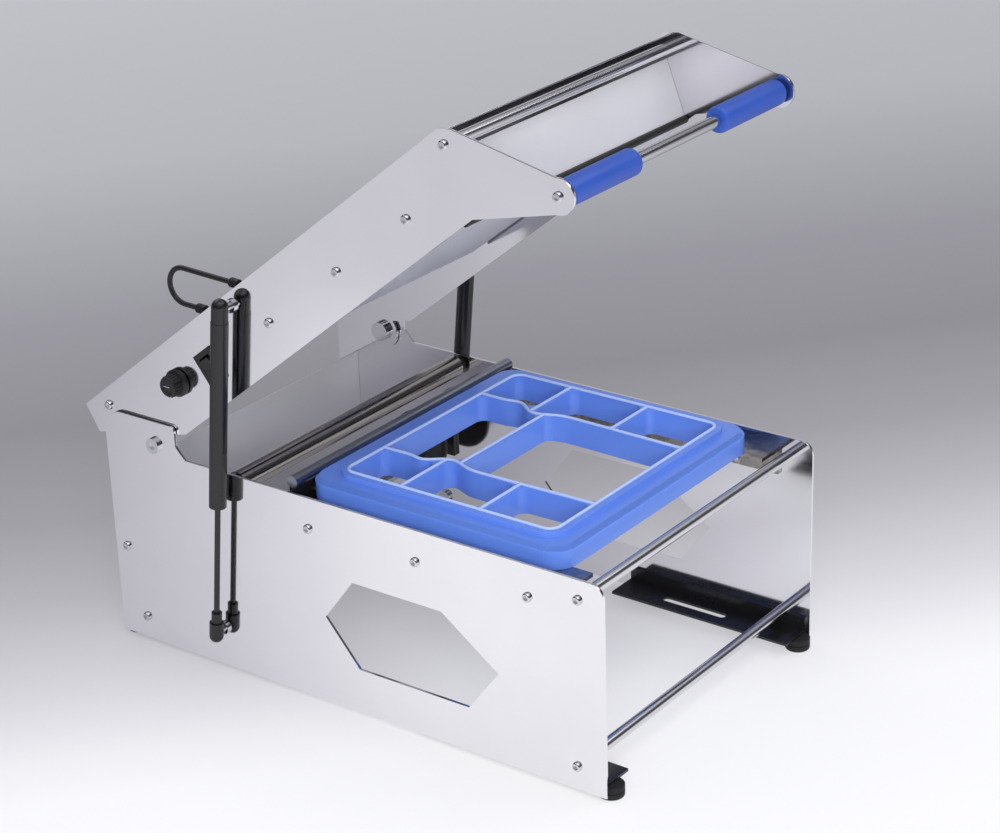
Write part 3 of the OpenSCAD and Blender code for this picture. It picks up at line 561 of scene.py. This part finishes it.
class SEALER_OT_lead(bpy.types.Operator):
    """Make the lead that loops between two glands on the lid's cover"""

    bl_idname = "sealer.lead"
    bl_label = "Lead"

    # Route in millimetres on the shut lid, as the source gives it.
    across = -158
    front = 196
    apart = 60
    lean = math.radians(50)
    cover = 78
    collar = 5
    nose = 11
    straight = 16
    turn_points = 24
    cord_rounding = 5

    # A gland in millimetres: a six-sided nut, whose flange is measured over its corners, and a nose with
    # grooves round it, whose body is measured across.
    flange = 14
    nut_sides = 6
    nut_chamfer = 1
    body = 10
    nose_sink = 1
    grooves = 3
    groove_start = 2
    groove_pitch = 2.6
    groove_depth = 0.7
    groove_flank = 0.4
    groove_width = 1.6
    tip_length = 1
    tip_shoulder = 0.6
    tip_drop = 1.4
    gland_steps = 48
    crease = math.radians(35)

    def execute(self, context):
        out = Vector((0, math.sin(self.lean), math.cos(self.lean)))
        side = Vector((0, math.cos(self.lean), -math.sin(self.lean)))
        backs = (-self.front, self.apart - self.front)
        roots = [Vector((self.across, back, self.cover)) for back in backs]
        collars = [root + self.collar * UP for root in roots]
        first, last = [collar + self.nose * out for collar in collars]
        radius = self.apart * math.cos(self.lean) / 2
        middle = last + self.straight * out - radius * side
        route = [first]
        for i in range(self.turn_points + 1):
            angle = math.pi * (1 - i / self.turn_points)
            route.append(middle + radius * (math.cos(angle) * side + math.sin(angle) * out))
        route.append(last)
        self.glands(roots, collars, out)
        self.cord([lid_point(*place) for place in route])
        return {"FINISHED"}

    def cord(self, points):
        """The lead itself, as a curve."""
        curve = bpy.data.curves.new("jumper_lead_cord", "CURVE")
        curve.dimensions = "3D"
        curve.bevel_depth = sizes().lead_diameter / 2
        curve.bevel_resolution = self.cord_rounding
        curve.use_fill_caps = True
        spline = curve.splines.new("POLY")
        spline.points.add(len(points) - 1)
        for point, place in zip(spline.points, points):
            point.co = (*place, 1)
        made = placed("jumper_lead_cord", curve)
        dress(made, "black_plastic", "lid", ["jumper_lead"])

    def glands(self, roots, collars, out):
        """A six-sided nut on the cover and a grooved nose that leans back out of it, for each end."""
        flat = self.flange * math.cos(math.pi / self.nut_sides) / 2
        nut = [(0, 0), (0, flat, self.nut_sides), (self.collar - self.nut_chamfer, flat, self.nut_sides),
               (self.collar, flat - self.nut_chamfer), (self.collar, 0)]
        radius = self.body / 2
        nose = [(-self.nose_sink, 0), (-self.nose_sink, radius)]
        for groove in range(self.grooves):
            start = self.groove_start + self.groove_pitch * groove
            end = start + self.groove_width
            floor = radius - self.groove_depth
            nose += [(start, radius), (start + self.groove_flank, floor),
                     (end - self.groove_flank, floor), (end, radius)]
        nose += [(self.nose - self.tip_length, radius - self.tip_shoulder),
                 (self.nose, radius - self.tip_drop), (self.nose, 0)]
        bm = bmesh.new()
        for root, collar in zip(roots, collars):
            for profile, start, way in ((nut, root, UP), (nose, collar, out)):
                lathe(in_metres(profile), lid_point(*start), lid_way(*way), self.gland_steps, bm)
        made = new_object("lead_glands_ribbed", bm, self.crease)
        dress(made, "black_plastic", "lid", ["lead_glands"])


class SEALER_OT_grips(bpy.types.Operator):
    """Make the two blue grips on the handle bar"""

    bl_idname = "sealer.grips"
    bl_label = "Grips"

    crease = math.radians(50)

    def execute(self, context):
        corner = sizes().grip_round
        bar_low, bar_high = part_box("handle_bar")
        centre = (bar_low + bar_high) / 2
        bore = (bar_high.z - bar_low.z) / 2
        for node in ("left_grip", "right_grip"):
            low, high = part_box(node)
            radius = (high.z - low.z) / 2
            profile = [(low.x, bore)]
            profile += quarter(low.x + corner, radius - corner, -corner, False)
            profile += quarter(high.x - corner, radius - corner, corner, True)
            profile += [(high.x, bore), (low.x, bore)]
            bm = lathe(profile, Vector((0, centre.y, centre.z)), Vector((1, 0, 0)))
            made = new_object(node + "_sleeve", bm, self.crease)
            dress(made, "grip_blue", "lid", [node])
        return {"FINISHED"}


class SEALER_OT_mould(bpy.types.Operator):
    """Round the mould's edges over and lay the silicone bead on its walls"""

    bl_idname = "sealer.mould"
    bl_label = "Mould"

    # The bead's lines in millimetres from the middle of the gasket, as the source gives them. The waist and
    # the shoulder are each a place back, a depth and a length.
    bead_width = 3.4
    corner = 11.7
    long_wall = 79
    wall_spread = 0.022
    waist = (49, -11, 20)
    shoulder = (76, 5, 12)
    side_walls = (-40, 56)
    middle_wall = 39
    wall_points = 40
    corner_points = 8

    # The step in the mould's top edge, and how finely its points are told apart, in digits of a metre.
    step_drop = 4.5
    height_digits = 6
    place_digits = 5
    edge_segments = 4

    def execute(self, context):
        self.casting()
        self.bead()
        return {"FINISHED"}

    def plan(self, vert):
        """Where a point stands, seen from above."""
        return round(vert.co.x, self.place_digits), round(vert.co.y, self.place_digits)

    def casting(self):
        """The mould with its stepped top edge drawn up into one round edge."""
        bm = copied("mould")
        top = sorted({round(vert.co.z, self.height_digits) for vert in bm.verts})[-2]
        above = {self.plan(vert) for vert in bm.verts if abs(vert.co.z - top) < MERGE}
        for vert in bm.verts:
            stepped = abs(top - self.step_drop * MM - vert.co.z) < MERGE
            if stepped and self.plan(vert) in above:
                vert.co.z = top
        made = eased(new_object("mould_casting", bm), sizes().mould_round, self.edge_segments)
        dress(made, "mould_blue", "base", ["mould"])

    def wall_line(self, back):
        """How far a long wall stands from the middle at a place back."""
        swells = sum(depth * math.exp(-((back - place) / length) ** 2)
                     for place, depth, length in (self.waist, self.shoulder))
        return self.long_wall + self.wall_spread * back + swells

    def lines(self, half_width, half_length):
        """The outer loop, the two long walls and the cross walls."""
        loop = []
        for quadrant, (right, rear) in enumerate(((1, 1), (-1, 1), (-1, -1), (1, -1))):
            for i in range(self.corner_points + 1):
                angle = math.pi / 2 * (quadrant + i / self.corner_points)
                loop.append((right * (half_width - self.corner) + self.corner * math.cos(angle),
                             rear * (half_length - self.corner) + self.corner * math.sin(angle)))
        found = [loop + loop[:1]]
        backs = [half_length * (2 * i / self.wall_points - 1) for i in range(self.wall_points + 1)]
        for side in (-1, 1):
            found.append([(side * self.wall_line(back), back) for back in backs])
            for back in self.side_walls:
                found.append([(side * self.wall_line(back), back), (side * half_width, back)])
        reach = self.wall_line(self.middle_wall)
        found.append([(-reach, self.middle_wall), (reach, self.middle_wall)])
        return found

    def bead(self):
        """Round silicone cord along the tops of the walls, sunk in its groove."""
        low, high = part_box("mould_gasket")
        centre = (low + high) / 2
        half = (high - low) / 2 / MM - Vector((1, 1, 0)) * self.bead_width / 2
        rise = high.z - self.bead_width / 2 * MM
        bm = bmesh.new()
        for line in self.lines(half.x, half.y):
            places = [Vector((centre.x + x * MM, centre.y + y * MM, rise)) for x, y in line]
            closed = places[0] == places[-1]
            verts = [bm.verts.new(place) for place in (places[:-1] if closed else places)]
            for pair in zip(verts, verts[1:] + (verts[:1] if closed else [])):
                bm.edges.new(pair)
        mesh = bpy.data.meshes.new("mould_gasket_bead")
        bm.to_mesh(mesh)
        bm.free()
        made = placed("mould_gasket_bead", mesh)
        grown(made, bead_tree(), Radius=self.bead_width / 2 * MM, Finish=FINISHES["gasket_white"])
        dress(made, "gasket_white", "base", ["mould_gasket"])


class SEALER_OT_screws(bpy.types.Operator):
    """Make the button-head screws in the side plates and the lid plates"""

    bl_idname = "sealer.screws"
    bl_label = "Screws"

    # Millimetres of a screw with a 10 mm head. The socket is measured from its middle to a flat.
    head_radius = 5
    head_height = 3.2
    side_height = 0.7
    crown_radius = 3.4
    crown_points = 6
    socket = 2.5
    socket_sides = 6
    socket_depth = 2.1
    shank_radius = 2.9
    steps = 24
    crease = math.radians(35)

    def execute(self, context):
        tree = seats_tree()
        for node, body in (("left_base_screws", "base"), ("right_base_screws", "base"),
                           ("left_lid_screws", "lid"), ("right_lid_screws", "lid")):
            side = -1 if node.startswith("left") else 1
            boxes = islands(node)
            reach = min(high.x - low.x for low, high in boxes)
            screw = self.screw(node + "_pattern", Vector((side, 0, 0)), reach)
            mesh = bpy.data.meshes.new(node + "_heads")
            faces = [low.x if side < 0 else high.x for low, high in boxes]
            mesh.from_pydata([(x, *((low + high) / 2).yz) for x, (low, high) in zip(faces, boxes)], [], [])
            made = placed(node + "_heads", mesh)
            grown(made, tree, Piece=screw, Finish=FINISHES["bright_steel"])
            dress(made, "bright_steel", body, [node])
            bpy.data.objects.remove(screw)
        return {"FINISHED"}

    def screw(self, name, way, reach):
        """One screw with the top of its head at the origin."""
        end = -reach / MM
        drop = self.head_height - self.side_height
        slope = self.head_radius - self.crown_radius
        profile = [(end, 0), (end, self.shank_radius), (-self.head_height, self.shank_radius)]
        profile.append((-self.head_height, self.head_radius))
        profile += [(-drop * (1 - math.sin(turn)), self.crown_radius + slope * math.cos(turn))
                    for turn in quarter_turns(self.crown_points)]
        profile += [(0, self.socket, self.socket_sides), (-self.socket_depth, self.socket, self.socket_sides),
                    (-self.socket_depth, 0)]
        return new_object(name, lathe(in_metres(profile), Vector(), way, self.steps), self.crease)


class SEALER_OT_knob(bpy.types.Operator):
    """Make the ribbed thermostat knob with its pointer"""

    bl_idname = "sealer.knob"
    bl_label = "Knob"

    # Millimetres up from the knob's inner face.
    skirt_radius = 14.5
    skirt_height = 5
    skirt_chamfer = 0.5
    skirt_slope = 1
    grip_radius = 11
    grip_draft = 0.5
    height = 17
    rim = 1.5
    dish = 1.2
    dish_radius = 7.5
    dish_slope = 1
    shaft_radius = 3
    shaft_reach = 16
    crease = math.radians(40)

    # How far the ribs' middles stand inside the grip, and how finely a rib is turned.
    rib_sink = 0.5
    rib_steps = 10
    rib_crease = math.radians(60)

    # Width, length and thickness of the pointer, how far it stands off the middle, and its edges.
    pointer = (0.9, 8, 0.5)
    pointer_offset = 2
    pointer_round = 0.15
    pointer_segments = 2

    def execute(self, context):
        centre = Vector(JOINTS["knob_turn"]["pos_m"])
        centre.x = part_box("thermostat_knob")[0].x + self.height * MM
        turn = Vector(JOINTS["knob_turn"]["axis"]).to_track_quat("Z", "X").to_matrix().to_4x4()
        stand = Matrix.Translation(centre) @ turn
        body, rib = self.turned_body(), self.rib()
        grown(body, ribs_tree(), Rib=rib, Count=sizes().knob_ribs, Finish=FINISHES["black_plastic"],
              **{"Ring radius": (self.grip_radius - self.rib_sink) * MM})
        bpy.data.objects.remove(rib)
        body.data.transform(stand)
        dress(body, "black_plastic", "knob", ["thermostat_knob"])
        self.mark(stand)
        return {"FINISHED"}

    def turned_body(self):
        """The knob without its ribs, on its own Z axis, with its shaft."""
        skirt, top, floor = self.skirt_height, self.height, self.height - self.dish
        profile = [
            (-self.shaft_reach, 0), (-self.shaft_reach, self.shaft_radius), (0, self.shaft_radius),
            (0, self.skirt_radius - self.skirt_chamfer), (self.skirt_chamfer, self.skirt_radius),
            (skirt - self.skirt_slope, self.skirt_radius), (skirt, self.skirt_radius - self.skirt_slope),
            (skirt + self.skirt_slope, self.grip_radius)]
        profile += quarter(top - self.rim, self.grip_radius - self.grip_draft - self.rim, self.rim, True)
        profile += [(top, self.dish_radius), (floor, self.dish_radius - self.dish_slope), (floor, 0)]
        return new_object("thermostat_knob_ribbed", lathe(in_metres(profile), Vector(), UP), self.crease)

    def rib(self):
        """One upright rib with a round top, from the skirt up to the rim."""
        radius = sizes().rib_radius
        start, end = self.skirt_height * MM, (self.height - self.rim) * MM
        profile = [(start, 0), (start, radius), (end - radius, radius)]
        profile += quarter(end - radius, 0, radius, True)
        return new_object("knob_rib", lathe(profile, Vector(), UP, self.rib_steps), self.rib_crease)

    def mark(self, stand):
        """A bright line inlaid in the knob's dish."""
        bm = bmesh.new()
        bmesh.ops.create_cube(bm, size=1.0)
        bmesh.ops.scale(bm, vec=Vector(self.pointer) * MM, verts=bm.verts)
        lift = (self.height - self.dish) * MM
        bmesh.ops.translate(bm, vec=(0, self.pointer_offset * MM, lift), verts=bm.verts)
        made = eased(new_object("knob_pointer", bm), self.pointer_round * MM, self.pointer_segments)
        made.data.transform(stand)
        dress(made, "bright_steel", "knob")


class SEALER_OT_feet(bpy.types.Operator):
    """Make the rubber feet, grooved and hollowed for their screws"""

    bl_idname = "sealer.feet"
    bl_label = "Feet"

    hollow = 5 * MM
    depth = 5 * MM
    corner = 1.8 * MM
    groove = 0.8 * MM
    steps = 48
    crease = math.radians(30)

    def execute(self, context):
        for node in ("front_left_foot", "front_right_foot", "rear_left_foot", "rear_right_foot"):
            low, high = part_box(node)
            radius = (high.x - low.x) / 2
            height = high.z - low.z
            middle = height / 2
            inner = radius - self.groove
            profile = [(self.depth, 0), (self.depth, self.hollow), (0, self.hollow + self.groove)]
            profile += quarter(self.corner, radius - self.corner, -self.corner, False)
            profile += [(middle - self.groove, radius), (middle, inner), (middle + self.groove, radius)]
            profile += [(height - self.groove, radius), (height, inner), (height, 0)]
            centre = (low + high) / 2
            bm = lathe(profile, Vector((centre.x, centre.y, low.z)), UP, self.steps)
            made = new_object(node + "_moulded", bm, self.crease)
            dress(made, "foot_rubber", "base", [node])
        return {"FINISHED"}


class SEALER_OT_edges(bpy.types.Operator):
    """Ease the edges of the plates, panels, rails and blocks"""

    bl_idname = "sealer.edges"
    bl_label = "Edges"

    sheets = (
        "left_side_plate", "right_side_plate", "left_lid_plate", "right_lid_plate",
        "lid_top_cover", "lid_front_panel", "rear_panel",
    )
    blocks = (
        "left_mould_rail", "right_mould_rail", "front_left_foot_rail", "front_right_foot_rail",
        "rear_left_foot_rail", "rear_right_foot_rail", "heater_block", "sealing_plate", "film_strip",
        "switch_housing", "switch_rocker", "thermostat", "left_spindle_cradle", "right_spindle_cradle",
    )

    def execute(self, context):
        for nodes, width in ((self.sheets, sizes().sheet_round), (self.blocks, sizes().block_round)):
            for node in nodes:
                made = eased(new_object(node + "_eased", copied(node)), width)
                dress(made, SLOTS[node], NODES[node]["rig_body"], [node])
        return {"FINISHED"}


class SEALER_OT_black_strip(bpy.types.Operator):
    """Make a black round strip along the lower edge of the lid's front panel"""

    bl_idname = "sealer.trim"
    bl_label = "Black strip"

    # Lower edge of the panel in millimetres on the shut lid, as the source gives it.
    panel_edge = (-512, -4)
    clearance = 1

    def execute(self, context):
        low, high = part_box("lid_front_panel")
        ends = [low.x / MM + self.clearance, high.x / MM - self.clearance]
        # A black round strip along the panel's lower edge.
        mesh = bpy.data.meshes.new("lid_panel_trim")
        mesh.from_pydata([lid_point(x, *self.panel_edge) for x in ends], [(0, 1)], [])
        made = placed("lid_panel_trim", mesh)
        grown(made, bead_tree(), Radius=sizes().black_strip_radius, Finish=FINISHES["black_plastic"])
        dress(made, "black_plastic", "lid")
        return {"FINISHED"}


class SEALER_OT_stage(bpy.types.Operator):
    """Set up the table, the light and the camera"""

    bl_idname = "sealer.stage"
    bl_label = "Stage"

    # Where the photograph was taken from, in millimetres, and how far the camera leaned.
    stand = Vector((-1934.5, -1531.3, 1326.7))
    target = Vector((3.2, -66.4, 267.2))
    roll = math.radians(-1.91)
    lens = 94.5
    sensor = 36.0
    view_end = 50.0

    # The table's tones are painted light and shade: white before the machine, greyer behind it and darkest a
    # short way behind it, by the distance in metres along one direction, and pale grey far out on the left.
    fade_way = (0.643, 0.766, 0.0)
    fade_start = -0.4
    fade_end = 3.2
    table_painted_light_tones = (
        (0.0, "#F8F8FA"), (0.05, "#F7F7F9"), (0.069, "#F1F1F4"), (0.086, "#E7E6EB"), (0.111, "#D8D7DC"),
        (0.139, "#CAC9CF"), (0.17, "#B9B8BE"), (0.222, "#A3A2A8"), (0.3, "#939298"), (0.4, "#9D9CA3"),
        (0.6, "#BDBDC3"), (1.0, "#CFCFD5"),
    )
    left_side = (-0.85, -1.15)
    left_painted_light_tone = "#D6D5DA"
    glow = 0.6

    # The table's half width, where it starts to bend up, the radius of the bend and the backdrop's height, in
    # metres.
    table_reach = 6.0
    bend_start = 3.4
    bend = 1.4
    bend_steps = 12
    backdrop = 3.0

    # What polished metal sees above the table, by the height of the direction: a pale wall that is unlit on
    # the left, an unlit room, then soft light. The wall goes dark over these parts of the direction.
    room_tones = (
        (0.0, "#CFCFD4"), (0.1, "#BDBDC3"), (0.18, "#505056"), (0.5, "#5A5A60"), (0.66, "#E2E2E8"),
        (1.0, "#F6F6FA"),
    )
    unlit = "#46464B"
    unlit_across = (-0.2, -0.6)
    unlit_height = (0.3, 0.1)
    studio_light = 0.75

    # Name, place in metres, watts and width in metres of each lamp, and the point that they face.
    lamps = (
        ("front", (-2.4, -2.0, 1.55), 70, 1.4),
        ("top", (-0.6, -0.8, 2.8), 14, 1.8),
        ("fill", (1.5, -1.3, 2.7), 10, 1.4),
        ("rear", (0.6, 2.2, 2.4), 10, 1.6),
    )
    unseen_lamp = "front"
    lamp_aim = Vector((0, 0, 0.25))

    def execute(self, context):
        context.scene.view_settings.view_transform = "Standard"
        self.camera(context.scene)
        self.light(context.scene)
        self.table()
        return {"FINISHED"}

    def camera(self, scene):
        """The photograph's camera."""
        data = bpy.data.cameras.new("camera")
        data.lens = self.lens
        data.sensor_width = self.sensor
        data.clip_end = self.view_end
        made = placed("camera", data)
        back = (self.stand - self.target).normalized()
        right = UP.cross(back).normalized()
        up = back.cross(right)
        turned = math.cos(self.roll) * right + math.sin(self.roll) * up
        raised = math.cos(self.roll) * up - math.sin(self.roll) * right
        axes = Matrix((turned, raised, back)).transposed().to_4x4()
        made.matrix_world = Matrix.Translation(self.stand * MM) @ axes
        scene.camera = made

    def light(self, scene):
        """Even light from all round, soft lamps, and a broad front light that polished metal doesn't show."""
        scene.world = bpy.data.worlds.new("studio")
        tree = cleared(scene.world)
        way = add(tree, "ShaderNodeTexCoord").outputs["Generated"]
        axes = add(tree, "ShaderNodeSeparateXYZ", {"Vector": way}).outputs
        room = add(tree, "ShaderNodeValToRGB", {"Fac": axes["Z"]})
        set_stops(room.color_ramp, self.room_tones)
        left, low = [
            add(tree, "ShaderNodeMapRange", {"Value": axes[axis], "From Min": lit, "From Max": dark})
            for axis, (lit, dark) in (("X", self.unlit_across), ("Z", self.unlit_height))]
        dim = add(tree, "ShaderNodeMath", {
            0: left.outputs["Result"], 1: low.outputs["Result"]}, operation="MULTIPLY")
        wall = add(tree, "ShaderNodeMixRGB", {
            "Fac": dim.outputs["Value"], "Color1": room.outputs["Color"], "Color2": linear(self.unlit)})
        glossy = add(tree, "ShaderNodeLightPath").outputs["Is Glossy Ray"]
        seen = add(tree, "ShaderNodeMixRGB", {
            "Fac": glossy, "Color1": linear(colours().studio), "Color2": wall.outputs["Color"]})
        ground = add(tree, "ShaderNodeBackground", {
            "Color": seen.outputs["Color"], "Strength": self.studio_light})
        add(tree, "ShaderNodeOutputWorld", {"Surface": ground.outputs["Background"]})
        for name, place, power, size in self.lamps:
            lamp = bpy.data.lights.new(name, "AREA")
            lamp.energy = power
            lamp.size = size
            made = placed(name, lamp)
            made.location = place
            made.visible_glossy = name != self.unseen_lamp
            made.rotation_euler = (self.lamp_aim - Vector(place)).to_track_quat("-Z", "Y").to_euler()

    def table(self):
        """A table top that curves up into a backdrop far behind the machine."""
        profile = [(-self.table_reach, 0.0), (self.bend_start, 0.0)]
        profile += [(self.bend_start + self.bend * math.sin(turn), self.bend * (1 - math.cos(turn)))
                    for turn in quarter_turns(self.bend_steps)[1:]]
        profile.append((self.bend_start + self.bend, self.backdrop))
        view = self.target - self.stand
        turn = Matrix.Rotation(math.atan2(view.y, view.x) - math.pi / 2, 3, "Z")
        bm = bmesh.new()
        rows = []
        for along, high in profile:
            rows.append([bm.verts.new(turn @ Vector((x, along, high)))
                         for x in (-self.table_reach, self.table_reach)])
        for low, high in zip(rows, rows[1:]):
            bm.faces.new((low[0], low[1], high[1], high[0]))
        made = new_object("table", bm)
        made.data.materials.append(self.table_finish())

    def table_finish(self):
        """Matt paper whose tones are painted light and shade, shown nearly as written, and which still takes
        the machine's real shadow.
        """
        made = bpy.data.materials.new("matt_paper_table_painted_light")
        tree = cleared(made)
        place = add(tree, "ShaderNodeTexCoord").outputs["Object"]
        away = add(tree, "ShaderNodeVectorMath", {0: place, 1: self.fade_way}, operation="DOT_PRODUCT")
        share = add(tree, "ShaderNodeMapRange", {
            "Value": away.outputs["Value"], "From Min": self.fade_start, "From Max": self.fade_end})
        # Painted light and shade: the table's tone by the distance along one direction.
        tone = add(tree, "ShaderNodeValToRGB", {"Fac": share.outputs["Result"]})
        set_stops(tone.color_ramp, self.table_painted_light_tones)
        # Painted light: pale grey far out on the left.
        across = add(tree, "ShaderNodeSeparateXYZ", {"Vector": place}).outputs["X"]
        out = add(tree, "ShaderNodeMapRange", {
            "Value": across, "From Min": self.left_side[0], "From Max": self.left_side[1]})
        shade = add(tree, "ShaderNodeMixRGB", {
            "Fac": out.outputs["Result"], "Color1": tone.outputs["Color"], "Color2": linear(self.left_painted_light_tone)})
        paper = add(tree, "ShaderNodeBsdfDiffuse", {"Color": shade.outputs["Color"]})
        shine = add(tree, "ShaderNodeEmission", {"Color": shade.outputs["Color"], "Strength": 1.0})
        even = add(tree, "ShaderNodeMixShader", {
            "Fac": self.glow, 1: paper.outputs["BSDF"], 2: shine.outputs["Emission"]})
        path = add(tree, "ShaderNodeLightPath").outputs
        seen = path["Is Camera Ray"]
        for kind in ("Is Glossy Ray", "Is Transmission Ray"):
            seen = add(tree, "ShaderNodeMath", {0: seen, 1: path[kind]}, operation="MAXIMUM").outputs["Value"]
        both = add(tree, "ShaderNodeMixShader", {
            "Fac": seen, 1: paper.outputs["BSDF"], 2: even.outputs["Shader"]})
        add(tree, "ShaderNodeOutputMaterial", {"Surface": both.outputs["Shader"]})
        return made


class SEALER_PT_panel(bpy.types.Panel):
    """The pieces and settings of the tray sealer"""

    bl_label = "Tray Sealer"
    bl_idname = "SEALER_PT_panel"
    bl_space_type = "VIEW_3D"
    bl_region_type = "UI"
    bl_category = "Tray Sealer"

    def draw(self, context):
        for operator in OPERATORS:
            self.layout.operator(operator.bl_idname)
        for group in (sizes(), colours()):
            box = self.layout.box()
            for name in group.__annotations__:
                box.prop(group, name)


OPERATORS = (
    SEALER_OT_finishes, SEALER_OT_stage, SEALER_OT_lead, SEALER_OT_grips, SEALER_OT_mould, SEALER_OT_screws,
    SEALER_OT_knob, SEALER_OT_feet, SEALER_OT_edges, SEALER_OT_black_strip,
)
CLASSES = (SealerSizes, SealerColours) + OPERATORS + (SEALER_PT_panel,)


def register():
    for cls in CLASSES:
        bpy.utils.register_class(cls)
    bpy.types.Scene.sealer_sizes = PointerProperty(type=SealerSizes)
    bpy.types.Scene.sealer_colours = PointerProperty(type=SealerColours)


def unregister():
    del bpy.types.Scene.sealer_sizes
    del bpy.types.Scene.sealer_colours
    for cls in reversed(CLASSES):
        bpy.utils.unregister_class(cls)


def main():
    register()
    for operator in OPERATORS:
        group, name = operator.bl_idname.split(".")
        getattr(getattr(bpy.ops, group), name)()


if __name__ == "__main__":
    main()
